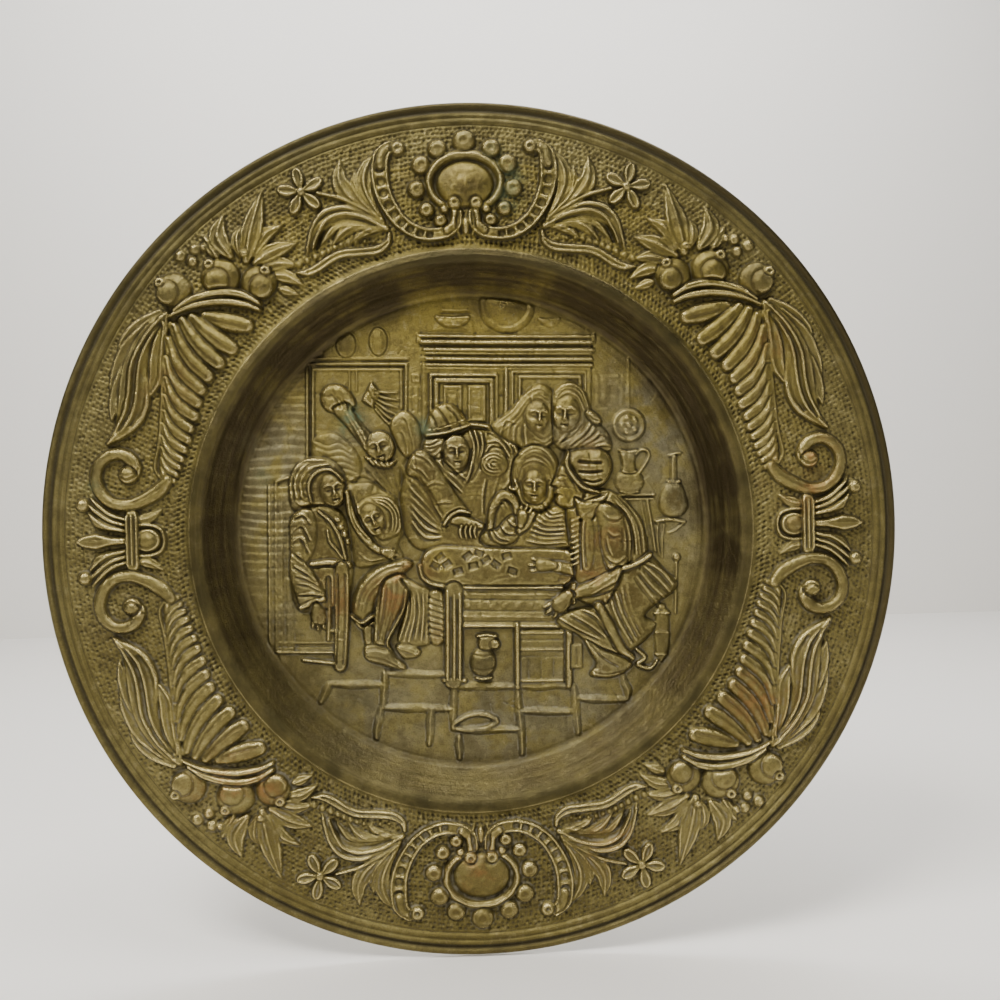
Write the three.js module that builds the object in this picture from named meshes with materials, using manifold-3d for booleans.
// Embossed brass wall plate, pressed from one sheet, with a rolled edge. A broad border carries
// four horns of plenty, leaves, scrolls, two cartouches and two side palmettes around a sunk well
// with a tavern scene. Millimetres: +X right, +Z up, +Y into the wall. The origin is the centre
// of the flat back of the well, which rests on the wall.

import * as THREE from 'three';
import { mergeVertices } from 'three/addons/utils/BufferGeometryUtils.js';
import Module from 'manifold-3d';

// Driving dimensions.
const PLATE_RADIUS = 298.45;
const SHEET = 0.6;
const WELL_DEPTH = 22;
const EDGE_ROLL = 4.8;
const EDGE_GROOVE = 3.6;
const EDGE_STEP = 7.8;
const BAND_WIDTH = 84;
const RING_WIDTH = 9.8;
const RING_RISE = 1.6;
const WALL_RUN = 17.4;
const COVE_RUN = 4;
const COVE_RISE = 2;
const GROOVE_DEPTH = 1.2;
const STEP_RISE = 0.6;
const BORDER_RELIEF = 5;
const SCENE_RELIEF = 7;
const SCENE_TURN_DEG = -1.4;
const PLATE_SIDES = 40;

// Radii and heights that follow. A height is measured from the wall towards the room.
const stepOuter = PLATE_RADIUS - EDGE_ROLL - EDGE_GROOVE;
const bandOuter = stepOuter - EDGE_STEP;
const bandInner = bandOuter - BAND_WIDTH;
const ringInner = bandInner - RING_WIDTH;
const wallFoot = ringInner - WALL_RUN;
const floorRadius = wallFoot - COVE_RUN;
const floorTop = SHEET;
const bandTop = WELL_DEPTH + SHEET;

// The ornament is drawn on a plate of this size and follows the real band and floor.
const DRAWN_BAND_INNER = 198.25;
const DRAWN_BAND_WIDTH = 84;
const DRAWN_FLOOR = 167.05;

const wasm = await Module();
wasm.setup();

// A closed solid from a triangle list, facing out whichever way its rings ran.
function solidFrom(geometry) {
  geometry.deleteAttribute('normal');
  geometry.deleteAttribute('uv');
  const merged = mergeVertices(geometry, 1e-4);
  const position = merged.getAttribute('position');
  const index = merged.getIndex();
  const corner = (i) => new THREE.Vector3().fromBufferAttribute(position, i);
  const triangles = [];
  let volume = 0;
  for (let i = 0; i < index.count; i += 3) {
    const [a, b, c] = [index.getX(i), index.getX(i + 1), index.getX(i + 2)];
    if (a === b || b === c || c === a) continue;
    triangles.push([a, b, c]);
    volume += corner(a).dot(corner(b).cross(corner(c)));
  }
  if (volume < 0) triangles.forEach((triangle) => triangle.reverse());
  return new wasm.Manifold(new wasm.Mesh({
    numProp: 3,
    vertProperties: new Float32Array(position.array),
    triVerts: new Uint32Array(triangles.flat()),
  }));
}

// The sheet: its front line from the axis out, round the rolled edge, and back along the wall side.
function sheetGeometry() {
  const middle = [
    [floorRadius, 0],
    [wallFoot, COVE_RISE],
    [ringInner, WELL_DEPTH],
    [ringInner + RING_WIDTH * 0.4, WELL_DEPTH + RING_RISE],
    [bandInner, WELL_DEPTH],
    [bandOuter, WELL_DEPTH],
    [stepOuter, WELL_DEPTH + STEP_RISE],
    [stepOuter + EDGE_GROOVE, WELL_DEPTH - GROOVE_DEPTH],
  ].map(([radius, back]) => new THREE.Vector2(radius, back + SHEET / 2));
  const offset = (side) => middle.map((point, i) => {
    const before = i ? middle[i - 1] : new THREE.Vector2(0, point.y);
    const after = middle[i + 1] ?? point;
    const into = point.clone().sub(before).normalize();
    const out = after === point ? into : after.clone().sub(point).normalize();
    const across = new THREE.Vector2(-into.y - out.y, into.x + out.x).normalize();
    const stretch = side * SHEET / 2 / Math.sqrt((1 + into.dot(out)) / 2);
    return point.clone().addScaledVector(across, stretch);
  });
  const rollRadius = EDGE_ROLL / 2;
  const rollCentre = new THREE.Vector2(PLATE_RADIUS - rollRadius, middle.at(-1).y);
  const roll = [100, 50, 0, -75].map((degrees) => {
    const angle = THREE.MathUtils.degToRad(degrees);
    const outward = new THREE.Vector2(Math.cos(angle), Math.sin(angle));
    return rollCentre.clone().addScaledVector(outward, rollRadius);
  });
  const profile = [
    new THREE.Vector2(0, SHEET), ...offset(1), ...roll, ...offset(-1).reverse(),
    new THREE.Vector2(0, 0),
  ];
  return new THREE.LatheGeometry(profile.map((point) => new THREE.Vector2(point.x, -point.y)), PLATE_SIDES);
}

// Relief forms are rings of [x, z, rise] points. A rise of 0 lies inside the sheet.
const SUNK = 0;
const ROLL_SECTION = [[-1, SUNK], [-0.55, 1], [0.55, 1], [1, SUNK]];
const RIDGE_SECTION = [[-1, SUNK], [0, 1], [1, SUNK]];

const shareOf = (values, t) => {
  const place = t * (values.length - 1);
  const before = Math.min(Math.floor(place), values.length - 2);
  return THREE.MathUtils.lerp(values[before], values[before + 1], place - before);
};

// A raised strip along a smooth line, as wide as its widths say. The ends slope down.
function strip(points, widths, rise, steps = points.length - 1, section = ROLL_SECTION, endRise = 0.35) {
  const line = new THREE.SplineCurve(points.map(([x, z]) => new THREE.Vector2(x, z)));
  const rings = [];
  for (let i = 0; i <= steps; i++) {
    const t = i / steps;
    const centre = line.getPoint(t);
    const along = line.getTangent(t);
    const half = shareOf(widths, t) / 2;
    const high = rise * (i === 0 || i === steps ? endRise : 1);
    rings.push(section.map(([across, up]) => half === 0
      ? [centre.x, centre.y, SUNK]
      : [centre.x - along.y * across * half, centre.y + along.x * across * half, up * high]));
  }
  return rings;
}

const ridge = (points, widths, rise, steps) => strip(points, widths, rise, steps, RIDGE_SECTION);

// A pointed leaf with a crest along its middle, bent sideways by a share of its length.
function leaf(base, tip, width, rise, bend = 0.12) {
  const [dx, dz] = [tip[0] - base[0], tip[1] - base[1]];
  const middle = [(base[0] + tip[0]) / 2 - dz * bend, (base[1] + tip[1]) / 2 + dx * bend];
  return ridge([base, middle, tip], [width * 0.6, width, 0], rise, 2);
}

// A rounded mound over an outline that its middle can see all of.
function mound(outline, rise, shoulder = 0.82, crown = 0.5) {
  const middle = [0, 1].map((k) => outline.reduce((sum, point) => sum + point[k], 0) / outline.length);
  const level = (share, up) => outline.map(([x, z]) => [
    middle[0] + (x - middle[0]) * share, middle[1] + (z - middle[1]) * share, up]);
  return [level(1, SUNK), level(shoulder, rise * 0.7), level(crown, rise)];
}

const oval = (x, z, rx, rz, sides) => Array.from({ length: sides }, (_, i) => {
  const angle = (i + 0.5) * 2 * Math.PI / sides;
  return [x + rx * Math.cos(angle), z + rz * Math.sin(angle)];
});

const dome = (x, z, rx, rz, rise, sides = 6) => mound(oval(x, z, rx, rz, sides), rise);

// A small round boss, with one slope and a flat top.
const boss = (x, z, r, rise, sides = 5) => {
  const outline = oval(x, z, r, r, sides);
  return [outline.map(([px, pz]) => [px, pz, SUNK]),
    outline.map(([px, pz]) => [x + (px - x) * 0.6, z + (pz - z) * 0.6, rise])];
};

// A low form with one slope and a flat top.
const slab = (outline, rise) => {
  const [base, , crown] = mound(outline, rise, 0.82, 0.72);
  return [base, crown];
};

// A star with rounded rays, for a flower.
const star = (x, z, r, rays, turn, rise) => {
  const outline = Array.from({ length: rays * 2 }, (_, i) => {
    const angle = THREE.MathUtils.degToRad(turn) + i * Math.PI / rays;
    const reach = i % 2 ? r * 0.32 : r;
    return [x + reach * Math.cos(angle), z + reach * Math.sin(angle)];
  });
  return [outline.map(([px, pz]) => [px, pz, SUNK]),
    outline.map(([px, pz]) => [x + (px - x) * 0.62, z + (pz - z) * 0.62, rise])];
};

// A flat-topped bar between two points.
const bar = (from, to, width, rise) => strip([from, to], [width, width], rise, 1, ROLL_SECTION, 1);

// Forms of the border. The quarter is drawn top left, and the others mirror it.
function hornForms() {
  const FLUTES = 9;
  const WIDEST = 16;
  const NARROWEST = 7.5;
  const outer = new THREE.SplineCurve([[-182, 153], [-204, 142], [-210, 112], [-213, 76], [-216, 49]]
    .map((point) => new THREE.Vector2(...point)));
  const inner = new THREE.SplineCurve([[-151, 148], [-172, 121], [-187, 98], [-198, 68], [-207, 43]]
    .map((point) => new THREE.Vector2(...point)));
  const widthOf = (_, i) => THREE.MathUtils.lerp(WIDEST, NARROWEST, i / (FLUTES - 1));
  const widths = Array.from({ length: FLUTES }, widthOf);
  const total = widths.reduce((sum, width) => sum + width, 0);
  let run = 0;
  const forms = [];
  widths.forEach((width, i) => {
    const from = outer.getPoint(run / total);
    const to = inner.getPoint(run / total);
    forms.push(strip([from.toArray(), to.toArray()], [width * 0.95, width * 0.75],
      BORDER_RELIEF * (1 - 0.3 * i / FLUTES), 1, ROLL_SECTION, 1));
    run += width;
  });
  forms.push(strip([[-204, 155], [-176, 166], [-144, 161]], [6, 7, 6], BORDER_RELIEF * 0.9));
  return forms;
}

function fruitForms() {
  const forms = [
    dome(-200, 173, 12, 12, BORDER_RELIEF * 1.2),
    dome(-170, 181, 13.5, 13, BORDER_RELIEF * 1.3),
    dome(-144, 177, 12.5, 12, BORDER_RELIEF * 1.2),
  ];
  const GRAPES = 2;
  for (let i = 0; i < GRAPES; i++) forms.push(boss(-189 - 4 * i, 200 - 5 * (i % 2), 4, BORDER_RELIEF * 0.5));
  const leaves = [
    [[-150, 190], [-140, 239], 16], [[-162, 196], [-168, 224], 12], [[-143, 197], [-125, 217], 11],
    [[-132, 179], [-113, 174], 8],
  ];
  leaves.forEach(([base, tip, width]) => forms.push(leaf(base, tip, width, BORDER_RELIEF * 0.8)));
  return forms;
}

function acanthusForms() {
  const rise = BORDER_RELIEF * 0.75;
  return [
    ridge([[-206, 157], [-225, 136], [-230, 108], [-250, 75]], [5, 16, 20, 0], rise, 3),
    leaf([-222, 145], [-241, 134], 8, rise),
    leaf([-228, 124], [-246, 111], 9, rise),
    leaf([-230, 106], [-247, 91], 9, rise),
    ridge([[-56, 212], [-76, 220], [-96, 215], [-111, 195]], [7, 15, 15, 0], rise, 3),
    leaf([-86, 218], [-98, 202], 9, rise),
    strip([[-54, 207], [-62, 197], [-88, 194], [-104, 185], [-117, 182]], [3, 5.5, 5, 5.5, 2], rise * 0.7, 4),
  ];
}

function armForms() {
  const rise = BORDER_RELIEF * 0.8;
  const forms = [
    strip([[-49, 270], [-58, 258], [-57, 236], [-44, 216], [-25, 207], [-8, 210], [-5, 224]],
      [8, 12, 10, 8, 7, 7, 7], rise, 6),
    leaf([-58, 219], [-66, 262], 13, rise, 0.2),
    leaf([-60, 218], [-86, 260], 14, rise, -0.2),
    ridge([[-60, 219], [-80, 231], [-101, 237]], [4, 4], rise * 0.6),
    star(-113, 238, 16, 5, 102, rise * 0.7),
  ];
  return forms;
}

function scrollForms() {
  const rise = BORDER_RELIEF * 0.9;
  const line = [
    [-214, 39], [-231, 27], [-250, 29], [-261, 44], [-252, 60], [-236, 58], [-233, 45], [-240, 43],
  ];
  return [
    strip(line, [7, 9, 9, 9, 8, 8, 7, 5], rise, 8),
    boss(-242, 46, 4, rise * 0.8),
  ];
}

// A cartouche stands at the top and at the foot, on the plate's own centre line.
function cartoucheForms() {
  const ARC_FROM = -52;
  const ARC_TO = 232;
  const ARC_STEPS = 5;
  const frameLine = Array.from({ length: ARC_STEPS + 1 }, (_, i) => {
    const angle = THREE.MathUtils.degToRad(THREE.MathUtils.lerp(ARC_FROM, ARC_TO, i / ARC_STEPS));
    return [25 * Math.cos(angle), 243 + 19.5 * Math.sin(angle)];
  });
  const forms = [
    dome(0, 241.5, 19.5, 15.5, BORDER_RELIEF, 8),
    strip(frameLine, [4, 4], BORDER_RELIEF * 0.6),
    slab(oval(0, 212, 3, 6.5, 5), BORDER_RELIEF * 0.7),
  ];
  const PAIRS = 4;
  for (let i = -PAIRS; i <= PAIRS; i++) {
    const angle = THREE.MathUtils.degToRad(90 + i * 32.5);
    const centre = [34.5 * Math.cos(angle), 243.5 + 28 * Math.sin(angle)];
    forms.push(boss(...centre, 7 - 0.5 * Math.abs(i), BORDER_RELIEF * 0.9));
  }
  return forms;
}

// A palmette stands at each side, drawn on the left, between two scrolls.
function palmetteForms() {
  const rise = BORDER_RELIEF * 0.8;
  const forms = [
    bar([-237.5, -18], [-237.5, 18], 7, rise * 0.7),
    leaf([-241, 0], [-274, 0], 12, rise, 0),
    dome(-226, 0, 7.5, 8, rise, 6),
    strip([[-234, 13], [-214, 9], [-214, -9], [-234, -13]], [4, 4], rise * 0.7, 3),
  ];
  for (const side of [-1, 1]) {
    forms.push(leaf([-241, side * 5], [-268, side * 20], 7, rise, side * 0.12));
    forms.push(ridge([[-241, side * 13], [-254, side * 20], [-266, side * 32]], [5, 6, 0], rise, 2));
    forms.push(boss(-270, side * 28, 4.5, rise * 0.8));
  }
  return forms;
}

// Forms of the tavern scene, drawn upright about the middle of the well.
const TALL = SCENE_RELIEF;
const MID = SCENE_RELIEF * 0.62;
const LOW = SCENE_RELIEF * 0.3;

function roomForms() {
  const forms = [
    bar([-115.5, 52], [-115.5, 116], 5, LOW),
    bar([-112, 118.5], [-48, 118.5], 5, LOW),
    bar([-50, 88], [-50, 115], 4, LOW),
    dome(-91, 132, 7.5, 8.5, LOW, 6),
    dome(-68, 135, 6.5, 9.5, LOW, 6),
    bar([-42, 82], [-42, 112], 8, LOW),
    slab([[-25, 152], [-4, 152], [-8, 145], [-21, 145]], LOW),
    slab([[7, 155], [41, 155], [37, 148], [24, 143], [11, 148]], LOW * 1.2),
    slab([[49, 151], [59, 151], [57, 145], [51, 145]], LOW),
    bar([-37, 137], [85, 137], 8, MID),
    bar([-36, 127], [84, 127], 7, MID * 0.8),
    bar([-35, 119], [82, 119], 6, MID * 0.65),
    bar([-30, 84], [-30, 114], 4, LOW),
    bar([17, 62], [17, 114], 7, LOW),
    bar([29, 96], [29, 114], 4, LOW),
    bar([79.5, 96], [79.5, 114], 4, LOW),
    slab([[-21, 103], [-8, 103], [-8, 79], [-21, 79]], LOW),
    slab([[-4, 103], [8, 103], [8, 80], [-4, 80]], LOW),
    dome(112, 76, 12, 11, LOW * 1.2, 8),
    dome(112, 35, 10, 9, MID, 6),
    bar([112, 42], [112, 58], 9, LOW * 1.3),
    bar([103, 24], [131, 24], 3.5, LOW),
    dome(144.5, 20, 9.5, 12, MID, 6),
    bar([144.5, 30], [144.5, 54], 4.5, LOW * 1.3),
    bar([133, 7], [151, 7], 3, LOW),
  ];
  const BOARDS = 3;
  for (let i = 0; i < BOARDS; i++) forms.push(bar([-143 + 7 * i, -80], [-143 + 7 * i, 34], 4, LOW));
  forms.push(bar([-127, -81], [-101, -81], 5, LOW));
  return forms;
}

function furnitureForms() {
  const tableTop = [
    [-39, -25], [-30, -12], [0, -11], [66, -13], [70, -26], [64, -39.5], [0, -40], [-31, -37],
  ];
  return [
    slab(tableTop, MID),
    bar([-10, -50], [66, -50], 9, MID * 0.7),
    bar([-10, -65], [66, -65], 7, MID * 0.6),
    bar([-17, -42], [-17, -107], 11, MID * 0.7),
    slab([[36, -74], [63, -74], [63, -108], [36, -108]], LOW),
    bar([70, -70], [70, -108], 5, LOW),
    dome(8, -94, 9.5, 13, MID, 8),
    bar([10.5, -73], [10.5, -83], 9, LOW * 1.4),
    bar([-114, -24], [-90, -24], 7, MID * 0.7),
    bar([-93.5, -27], [-93.5, -95], 9, MID * 0.7),
    slab([[-31, -50], [-22, -52], [-21, -75], [-31, -75]], LOW),
  ];
}

function floorForms() {
  const JOINT = 3;
  const lines = [
    [[-62, -104], [-20, -103]], [[-103, -110], [-66, -112]], [[-13, -112], [70, -113]],
    [[-65, -128], [-16, -128]], [[34, -131], [73, -131]], [[-13, -144], [30, -144]],
    [[78, -121], [104, -120]], [[-63, -106], [-70, -143]], [[-14, -115], [-11, -157]],
    [[31, -115], [36, -154]], [[73, -115], [76, -139]],
  ];
  return lines.map(([from, to]) => bar(from, to, JOINT, LOW * 0.8));
}

// The people round the table. Heads are plain rounded masses.
function leftFigures() {
  return [
    mound([[-131, 4], [-113, 22], [-96, 10], [-91, -18], [-104, -46], [-124, -38]], TALL * 0.8),
    dome(-106, 32, 14, 16, TALL),
    strip([[-121, 6], [-121, -20], [-113, -50]], [17, 19, 15], TALL),
    dome(-110, -61, 8, 9, MID, 6),
    strip([[-88, -52], [-74, -37], [-51, -27]], [14, 19, 14], TALL),
    strip([[-54, -32], [-60, -58], [-66, -84]], [15, 17, 12], TALL * 0.9),
    strip([[-75, -89], [-52, -97]], [10, 7], MID),
    slab([[-91, 31], [-73, 33], [-55, 22], [-51, 2], [-62, -6], [-85, 10]], MID),
    dome(-70, 12, 9, 11, TALL * 0.9),
    strip([[-80, 4], [-57, -17]], [12, 9], TALL * 0.8),
    strip([[-50, -42], [-45, -88]], [9, 8], MID),
    strip([[-39, -42], [-34, -76]], [9, 7], MID),
    dome(-100, 95, 9, 9, MID),
    strip([[-97, 88], [-70, 48]], [12, 15], MID),
    slab([[-73, 104], [-66, 98], [-73, 91], [-80, 98]], MID),
    dome(-66, 60, 11, 11, TALL * 0.8),
    strip([[-58, 75], [-50, 83], [-42, 76]], [5, 6, 5], MID),
  ];
}

function middleFigures() {
  return [
    mound([[-32, 70], [-27, 84], [-19, 91], [-9, 85], [-4, 73]], TALL),
    strip([[-34, 70], [-18, 68], [-2, 76]], [5, 6, 5], TALL * 1.1),
    dome(-12, 57, 9.5, 12, TALL),
    strip([[-3, 76], [18, 73], [30, 50]], [7, 8, 7], MID),
    dome(14, 50, 9, 9, TALL * 0.8),
    mound([[-46, 50], [-5, 44], [8, 14], [4, -4], [-16, -6], [-38, 4]], TALL * 0.75),
    strip([[-38, 38], [-26, 16], [-9, 6]], [14, 17, 12], TALL),
    dome(-6, 0, 9, 7, TALL * 0.8, 6),
    strip([[15, 77], [38, 99], [57, 98]], [6, 8, 5], MID),
    dome(45.5, 82, 9, 11, TALL * 0.85),
    strip([[60, 101], [76, 102], [86, 80]], [6, 7, 5], MID),
    dome(67, 84, 10, 12.5, TALL * 0.85),
    slab([[78, 84], [92, 80], [99, 66], [96, 58], [76, 60]], MID),
    slab([[27, 38], [30, 53], [45, 61], [58, 53], [60, 38]], TALL * 0.8),
    dome(43.5, 31, 8.5, 12, TALL),
    slab([[9, 0], [16, 20], [58, 20], [65, -9], [18, -10]], MID),
    strip([[14, 10], [24, -3], [34, 8]], [10, 11, 8], TALL * 0.8),
    dome(38, 12, 7, 7, TALL * 0.8, 6),
  ];
}

function rightFigures() {
  return [
    dome(70, 31, 14, 17, TALL),
    slab([[66, 49], [71, 59], [91, 59], [99, 46], [90, 32]], TALL * 1.05),
    mound([[79, 8], [97, 25], [117, 12], [125, -18], [100, -30], [79, -26]], TALL * 0.8),
    strip([[103, 12], [104, -8], [99, -28]], [14, 19, 16], TALL * 1.1),
    strip([[106, -30], [92, -40], [71, -47]], [17, 17, 12], TALL * 1.1),
    strip([[76, -49], [51, -57]], [11, 8], TALL * 0.8),
    strip([[104, -31], [126, -19]], [5, 4], TALL),
    slab([[124, -20], [146, -38], [136, -50], [116, -50], [110, -30]], MID),
    strip([[112, -48], [127, -72]], [12, 9], MID),
    strip([[96, -50], [115, -84]], [11, 11], TALL * 0.8),
    strip([[64, -66], [98, -78]], [10, 10], MID),
    strip([[84, -80], [98, -94]], [9, 8], MID),
    strip([[88, -104], [107, -103]], [6, 5], LOW),
    dome(57, -25, 12, 6, MID, 6),
    strip([[80, 6], [77, -8], [79, -28]], [7, 9, 8], TALL * 0.7),
  ];
}

// A place on the border or the floor, taken from the drawn plate to this one.
function onBorder(x, z, rise) {
  const drawn = Math.hypot(x, z);
  const radius = bandInner + (drawn - DRAWN_BAND_INNER) * BAND_WIDTH / DRAWN_BAND_WIDTH;
  const height = rise === SUNK ? bandTop - SHEET / 2 : bandTop + rise;
  return new THREE.Vector3(x * radius / drawn, -height, z * radius / drawn);
}

const sceneTurn = THREE.MathUtils.degToRad(SCENE_TURN_DEG);
function onFloor(x, z, rise) {
  const scale = floorRadius / DRAWN_FLOOR;
  const height = rise === SUNK ? floorTop - SHEET / 2 : floorTop + rise;
  const turned = new THREE.Vector2(x, z).multiplyScalar(scale).rotateAround(new THREE.Vector2(), sceneTurn);
  return new THREE.Vector3(turned.x, -height, turned.y);
}

// Rings of equal length joined into a closed body, capped at the first and the last.
function loft(rings, place, mirrorX = 1, mirrorZ = 1) {
  const count = rings[0].length;
  const positions = rings.flat().flatMap(([x, z, rise]) => place(x * mirrorX, z * mirrorZ, rise).toArray());
  const index = [];
  for (let ring = 0; ring < rings.length - 1; ring++) {
    for (let i = 0; i < count; i++) {
      const [a, b] = [ring * count + i, ring * count + (i + 1) % count];
      index.push(a, b, b + count, a, b + count, a + count);
    }
  }
  const last = (rings.length - 1) * count;
  for (let i = 1; i < count - 1; i++) {
    index.push(0, i + 1, i, last, last + i, last + i + 1);
  }
  const geometry = new THREE.BufferGeometry();
  geometry.setAttribute('position', new THREE.Float32BufferAttribute(positions, 3));
  geometry.setIndex(index);
  return geometry;
}

function plateSolid() {
  let plate = solidFrom(sheetGeometry());
  const raise = (forms, place, mirrorX, mirrorZ) => {
    for (const rings of forms) plate = plate.add(solidFrom(loft(rings, place, mirrorX, mirrorZ)));
  };
  const quarter = [hornForms(), fruitForms(), acanthusForms(), armForms(), scrollForms()].flat();
  for (const side of [1, -1]) {
    for (const half of [1, -1]) raise(quarter, onBorder, side, half);
    raise(cartoucheForms(), onBorder, 1, side);
    raise(palmetteForms(), onBorder, side, 1);
  }
  const scene = [roomForms(), furnitureForms(), floorForms(), leftFigures(), middleFigures(), rightFigures()];
  raise(scene.flat(), onFloor);
  return plate;
}

const surface = plateSolid().getMesh();
const geometry = new THREE.BufferGeometry();
geometry.setAttribute('position', new THREE.BufferAttribute(surface.vertProperties, surface.numProp));
geometry.setIndex(new THREE.BufferAttribute(surface.triVerts, 1));

const agedBrass = new THREE.MeshStandardMaterial({ color: 0x85743f, roughness: 0.45, metalness: 1 });
const plate = new THREE.Mesh(geometry, agedBrass);
plate.name = 'plate';

const group = new THREE.Group();
group.add(plate);
export default group;
